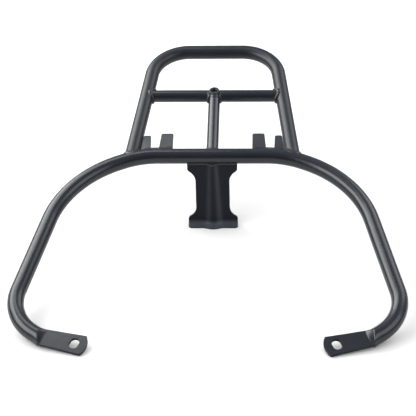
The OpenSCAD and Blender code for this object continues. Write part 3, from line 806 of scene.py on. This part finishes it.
def round_bead(main, root, way, r, leg, q0=0.0, q1=360.0, fullness=1.0):
    """Skin of a bead around a branch of radius r that meets the main tube, from angle q0
    to q1 in degrees. Its width wavers by a few sines with random weights, `fullness`
    scales its crown, and a full ring has a whole number of ripples."""
    full = abs(q1 - q0 - 360.0) < 1e-9
    count = int(abs(q1 - q0) / BEAD_TURN)
    across = np.array([way[1], -way[0]])
    wobble = rng.normal(0, 1, 6)
    rings = []
    for i in range(count if full else count + 1):
        q = math.radians(q0 + (q1 - q0) * i / count)
        out = np.append(across * math.cos(q), math.sin(q))
        rim = np.append(root, 0.0) + r * out
        seam = rim + np.append(way * meet(main, rim, way), 0.0)
        normal = unit(seam - np.append(axis_point(main, seam), 0.0))
        slide = unit(out - (out @ normal) * normal)
        waver = sum(w * math.sin((k + 1) * q + w) for k, w in enumerate(wobble)) / 2
        size = leg * (1 + WOBBLE * waver)
        phase = 2 * math.pi * r * q / RIPPLE_PITCH
        if full:
            phase = round(2 * math.pi * r / RIPPLE_PITCH) * q
        low = snap(main, seam + size * slide)
        high = seam + size * np.append(way, 0.0)
        deep = seam - ROOT_DEPTH * normal - ROOT_DEPTH * out
        rings.append(bead_section(low, high, deep, fullness * unit(normal + out), phase))
    return skin(in_frame(rings), closed=full)


def axis_u(x):
    """The u of the hoop's axis at x: 0 on the crossbar, and less on the shoulder bend."""
    if x <= HALF_CROSSBAR:
        return 0.0
    return math.sqrt(SHOULDER_R**2 - (x - HALF_CROSSBAR) ** 2) - SHOULDER_R


def bead(name, part, node):
    """The skin of a bead, in place of that bead of the solids."""
    mesh_object(name, *part, coat_weld, "weld_bead", node)


def pair(name, part, node):
    """A bead and its mirror image, in place of the right and the left bead of the solids."""
    bead("right_" + name, part, "right_" + node)
    bead("left_" + name, mirrored(part), "left_" + node)


shoulder_c = shoulder_0 - np.array([0.0, SHOULDER_R])
pair("leg_bead", round_bead(("bent", shoulder_c, SHOULDER_R, HOOP_R),
                            np.array([leg_x(0.0), 0.0]), -heading(LOOP_TURN), CARRIER_R,
                            LEG_BEAD, fullness=0.35), "leg_weld")
pair("cross_bead", round_bead(("straight", loop_1, heading(LOOP_TURN), CARRIER_R),
                              np.array([leg_x(CROSS_REACH), CROSS_REACH]),
                              np.array([-1.0, 0.0]), CROSS_R, TUBE_BEAD), "cross_weld")
bead("spine_front_bead",
     round_bead(("straight", np.zeros(2), np.array([1.0, 0.0]), HOOP_R), np.zeros(2),
                np.array([0.0, 1.0]), SPINE_R, SPINE_FRONT_BEAD, fullness=0.4),
     "spine_front_weld")


def bush_collar(first=188.0, last=352.0, width=4.2, height=1.3):
    """Skin of the bead round the front of the bush, which is lower at its two ends. It
    stands on whichever surface is higher, the spine tube's or the cross tube's."""
    def ground(x, u):
        spine = math.sqrt(max(0.0, SPINE_R**2 - x * x)) if u < 0 else 0.0
        return max(spine, math.sqrt(max(0.0, CROSS_R**2 - u * u)))

    rings = []
    for a in np.arange(first, last + 0.1, 2.0):
        c, s = math.cos(math.radians(a)), math.sin(math.radians(a))
        along = (a - first + COLLAR_RAMP) / (last - first + 2 * COLLAR_RAMP)
        fade = math.sin(math.pi * along) ** COLLAR_POWER
        far = BUSH_R + width * fade
        rim, edge = (BUSH_R * c, BUSH_R * s), (far * c, far * s)
        low = np.array([edge[0], CROSS_REACH + edge[1], ground(*edge)])
        high = np.array([rim[0], CROSS_REACH + rim[1], ground(*rim) + height * fade])
        deep = np.array([rim[0] * COLLAR_ROOT, CROSS_REACH + rim[1] * COLLAR_ROOT,
                         ground(*rim) - 1.0])
        crown = COLLAR_CROWN * unit(np.array([c, s, COLLAR_RISE]))
        rings.append(bead_section(low, high, deep, crown,
                                  2 * math.pi * BUSH_R * math.radians(a) / RIPPLE_PITCH))
    return skin(in_frame(rings))


rear_main = ("straight", np.array([0.0, CROSS_REACH]), np.array([1.0, 0.0]), CROSS_R)
rear_side = round_bead(rear_main, np.array([0.0, CROSS_REACH]), np.array([0.0, -1.0]), SPINE_R,
                       TUBE_BEAD, q0=128.0, q1=232.0)
bead("spine_rear_bead", joined(rear_side, mirrored(rear_side), bush_collar()),
     "spine_rear_weld")

# %% [markdown]
# The fork plates have a straight bead above and below. The bracket has one along its
# front edge, which climbs over the rib, and two short ones behind.

# %% Beads of the plates
def on_crossbar(x, n):
    """Point of the hoop's rear surface at x and height n."""
    return np.array([x, axis_u(x) + math.sqrt(HOOP_R**2 - n * n), n])


def fork_bead(up=1.0):
    """Skin of the straight bead between a fork plate's face and the crossbar. It ends
    BEAD_END from the plate's inner edge and from the leg's bead."""
    rings = []
    n0 = FORK_T / 2
    last = fork_side(HOOP_R) - LEG_BEAD - BEAD_END
    for x in np.arange(FORK_X + BEAD_END, last, BEAD_STEP):
        low = on_crossbar(x, n0 + PLATE_BEAD)
        high = np.array([x, axis_u(x) + HOOP_R + PLATE_BEAD, n0])
        deep = on_crossbar(x, n0) - PLATE_ROOT_DEPTH * np.array([0, 1, 1])
        ring = bead_section(low, high, deep, unit(np.array([0, 1.0, 1.0])),
                            2 * math.pi * x / RIPPLE_PITCH)
        rings.append(ring * np.array([1, 1, up]))
    return skin(in_frame(rings))


pair("fork_top_bead", fork_bead(), "fork_top_weld")
pair("fork_under_bead", fork_bead(-1.0), "fork_under_weld")


def bracket_bead(front=True):
    """Skin of the bead along the bracket's top edge, in the bracket's own axes. In
    front its foot follows the rib, behind it leaves the rib's hollow free."""
    half = BR_W / 2 - BRACKET_BEAD_END
    y0 = br_front if front else -BR_OFFSET
    rings = []
    for x in np.arange(-half if front else RIB_TOP_W / 2, half, BEAD_STEP):
        root = np.array([x, y0, -math.sqrt(HOOP_R**2 - y0 * y0)])
        if front:
            low_y = (y0 - HOOP_R) / 2
            dip = float(rib_bulge(x, br_top - RIB_DEPTH)) * RIB_SHARE
            high = np.array([x, y0 - dip, root[2] - PLATE_BEAD - RIB_DIP * dip])
            out, inward = unit(np.array([0, -1.0, -0.5])), np.array([0, 1, 1])
        else:
            low_y = y0 + PLATE_BEAD
            high = root - np.array([0, 0, PLATE_BEAD])
            out, inward = unit(np.array([0, 1.0, -1.0])), np.array([0, -1, 1])
        low = np.array([x, low_y, -math.sqrt(HOOP_R**2 - low_y * low_y)])
        rings.append(bead_section(low, high, root + PLATE_ROOT_DEPTH * inward, out,
                                  2 * math.pi * x / RIPPLE_PITCH))
    points, faces = skin(rings)
    return points + np.array([0, CROSSBAR_Y, CROSSBAR_Z]), faces


bead("bracket_front_bead", bracket_bead(), "bracket_front_weld")
rear_bead = bracket_bead(front=False)
bead("bracket_rear_bead", joined(rear_bead, mirrored(rear_bead)), "bracket_rear_weld")
print("pieces made:", len(made), "faces in all:", sum(len(o.data.polygons) for o in made))

# %% [markdown]
# ## Stage
#
# A pale floor runs out of the picture on all sides. The camera sees it and the
# background as white, with soft contact shadows on the floor, which is a little lighter
# far from the rack. The coat mirrors another floor, which darkens with distance, and a
# bluish sky that is dark in front and near the horizon, grey overhead, and lighter
# behind. A grey is given near the rack and far from it, and a fade is the pair of
# distances in metres between which the one becomes the other.

# %% Floor
FLOOR_SIZE, FLOOR_ROUGHNESS, FLOOR_SPECULAR = 14.0, 0.9, 0.1
FLOOR_SEEN, FLOOR_SEEN_FAR = 0.47, 0.68
FLOOR_MIRRORED, FLOOR_MIRRORED_FAR = 0.42, 0.16
SEEN_FADE, MIRRORED_FADE = (0.45, 1.00), (0.30, 0.90)
bpy.ops.mesh.primitive_plane_add(size=FLOOR_SIZE, location=(0.0, 0.0, 0.0))
floor = bpy.context.object
floor.name = "floor"
floor_mat = bpy.data.materials.new("pale_floor")
floor_mat.use_nodes = True
floor_tree = floor_mat.node_tree
floor_tree.nodes.clear()
floor_coords = add_node(floor_tree, "ShaderNodeTexCoord", {}).outputs["Object"]
floor_reach = add_node(floor_tree, "ShaderNodeVectorMath", {"Vector": floor_coords},
                       operation="LENGTH").outputs["Value"]
floor_path = add_node(floor_tree, "ShaderNodeLightPath", {})
seen_grey = map_range(floor_tree, floor_reach, FLOOR_SEEN, FLOOR_SEEN_FAR, *SEEN_FADE)
mirrored_grey = map_range(floor_tree, floor_reach, FLOOR_MIRRORED, FLOOR_MIRRORED_FAR,
                          *MIRRORED_FADE)
floor_colour = map_range(floor_tree, floor_path.outputs["Is Glossy Ray"], seen_grey,
                         mirrored_grey)
floor_bsdf = add_node(floor_tree, "ShaderNodeBsdfPrincipled",
                      {"Base Color": floor_colour, "Roughness": FLOOR_ROUGHNESS,
                       "Specular IOR Level": FLOOR_SPECULAR})
add_node(floor_tree, "ShaderNodeOutputMaterial", {"Surface": floor_bsdf.outputs["BSDF"]})
floor.data.materials.append(floor_mat)

# %% Background
AMBIENT, SKY_LOW, SKY_LOW_Z, SKY_FULL_Z = 1.6, 0.30, 0.0, 0.26
SKY_FRONT, SKY_OVERHEAD, SKY_REAR = 0.15, 0.45, 0.58
SKY_STOPS = [(0.0, SKY_FRONT), (0.13, SKY_FRONT), (0.30, SKY_OVERHEAD),
             (0.80, SKY_OVERHEAD), (1.0, SKY_REAR)]
SKY_TINT, WHITE = (0.93, 1.0, 1.13), (1.0, 1.0, 1.0, 1.0)
world = bpy.context.scene.world or bpy.data.worlds.new("world")
bpy.context.scene.world = world
world.use_nodes = True
sky_tree = world.node_tree
sky_tree.nodes.clear()


def background(colour, strength):
    """Shader of a world background of that colour and strength."""
    return add_node(sky_tree, "ShaderNodeBackground",
                    {"Color": colour, "Strength": strength}).outputs["Background"]


def switch(factor, first, second):
    """First shader where the factor is 0, second where it is 1."""
    mix = add_node(sky_tree, "ShaderNodeMixShader", {"Fac": factor})
    sky_tree.links.new(first, mix.inputs[1])
    sky_tree.links.new(second, mix.inputs[2])
    return mix.outputs["Shader"]


sky_coords = add_node(sky_tree, "ShaderNodeTexCoord", {}).outputs["Generated"]
sky_way = add_node(sky_tree, "ShaderNodeSeparateXYZ", {"Vector": sky_coords})
sky_share = map_range(sky_tree, sky_way.outputs["Y"], 0.0, 1.0, -1.0, 1.0)
sky_ramp = add_node(sky_tree, "ShaderNodeValToRGB", {"Fac": sky_share})
while len(sky_ramp.color_ramp.elements) < len(SKY_STOPS):
    sky_ramp.color_ramp.elements.new(0.5)
for stop, (place, grey) in zip(sky_ramp.color_ramp.elements, SKY_STOPS):
    stop.position = place
    stop.color = (*(grey * tint for tint in SKY_TINT), 1.0)
sky_strength = map_range(sky_tree, sky_way.outputs["Z"], SKY_LOW, 1.0, SKY_LOW_Z, SKY_FULL_Z)
sky_path = add_node(sky_tree, "ShaderNodeLightPath", {}).outputs
unseen = switch(sky_path["Is Glossy Ray"], background(WHITE, AMBIENT),
                background(sky_ramp.outputs["Color"], sky_strength))
add_node(sky_tree, "ShaderNodeOutputWorld",
         {"Surface": switch(sky_path["Is Camera Ray"], unseen, background(WHITE, 1.0))})

# %% [markdown]
# ## Light
#
# Four wide soft lights stand round the rack, behind it and in front at either side. The
# two at the left are the strong ones. Two panels hang over its left and right half.
# Nothing bright hangs over the middle, so the crossbar's top stays dark there.

# %% Lights
def set_axes(ob, x, y, z, place):
    """Turns ob so that its own axes lie along x, y and z, and puts it at `place`.
    Blender takes the matrix as four columns."""
    ob.matrix_world = [(*x, 0.0), (*y, 0.0), (*z, 0.0), (*place, 1.0)]


def soft_light(name, place, target, width, height, radiance):
    """Area light at `place` that faces `target`. Its power is pi x area x radiance."""
    data = bpy.data.lights.new(name, "AREA")
    data.shape = "RECTANGLE"
    data.size, data.size_y = width, height
    data.energy = math.pi * width * height * radiance
    ob = bpy.data.objects.new(name, data)
    bpy.context.scene.collection.objects.link(ob)
    z = unit(np.array(place) - np.array(target))
    x = unit(np.cross([0, 0, 1.0], z))
    set_axes(ob, x, np.cross(z, x), z, place)


# Each light: its name, its place, target, width and height in metres, and its radiance.
RACK_MIDDLE, LEFT_HALF, RIGHT_HALF = (0, 0, 0.05), (-0.25, 0.00, 0.05), (0.25, 0.05, 0.05)
LIGHTS = [("left_softbox", (-1.00, 0.62, 0.92), RACK_MIDDLE, 1.35, 0.95, 5.6),
          ("left_front_softbox", (-1.22, -0.52, 0.96), RACK_MIDDLE, 1.15, 1.05, 5.6),
          ("right_front_softbox", (1.22, -0.52, 0.96), RACK_MIDDLE, 1.15, 1.05, 2.1),
          ("left_overhead", (-0.355, 0.42, 1.10), LEFT_HALF, 0.52, 0.42, 3.8),
          ("right_overhead", (0.51, 0.55, 1.10), RIGHT_HALF, 0.72, 0.40, 0.6),
          ("right_softbox", (0.95, 0.78, 0.95), RACK_MIDDLE, 0.9, 0.8, 2.3)]
for light in LIGHTS:
    soft_light(*light)

# %% [markdown]
# ## Camera
#
# The place and the angles come from a fit of the rack's outline to the photograph. The
# place is given in mm from the middle of the crossbar's axis.

# %% Camera
ELEVATION, YAW = math.radians(29.92), math.radians(2.456)
CAM_FROM_CROSSBAR, SENSOR_W, LENS = (66.3, -1467.3, 775.2), 36.0, 124.25
cam_data = bpy.data.cameras.new("camera")
cam_data.sensor_width = SENSOR_W
cam_data.lens = LENS
cam = bpy.data.objects.new("camera", cam_data)
bpy.context.scene.collection.objects.link(cam)
cam_right = np.array([math.cos(YAW), math.cos(ELEVATION) * math.sin(YAW),
                      -math.sin(ELEVATION) * math.sin(YAW)])
cam_up = np.array([0.0, math.sin(ELEVATION), math.cos(ELEVATION)])
cam_back = np.cross(cam_right, cam_up)
cam_place = (np.array([0.0, CROSSBAR_Y, CROSSBAR_Z]) + CAM_FROM_CROSSBAR) * MM
set_axes(cam, cam_right, cam_up, cam_back, cam_place)
bpy.context.scene.camera = cam
bpy.context.scene.view_settings.view_transform = "Standard"

# %% Finish
bpy.context.view_layer.update()
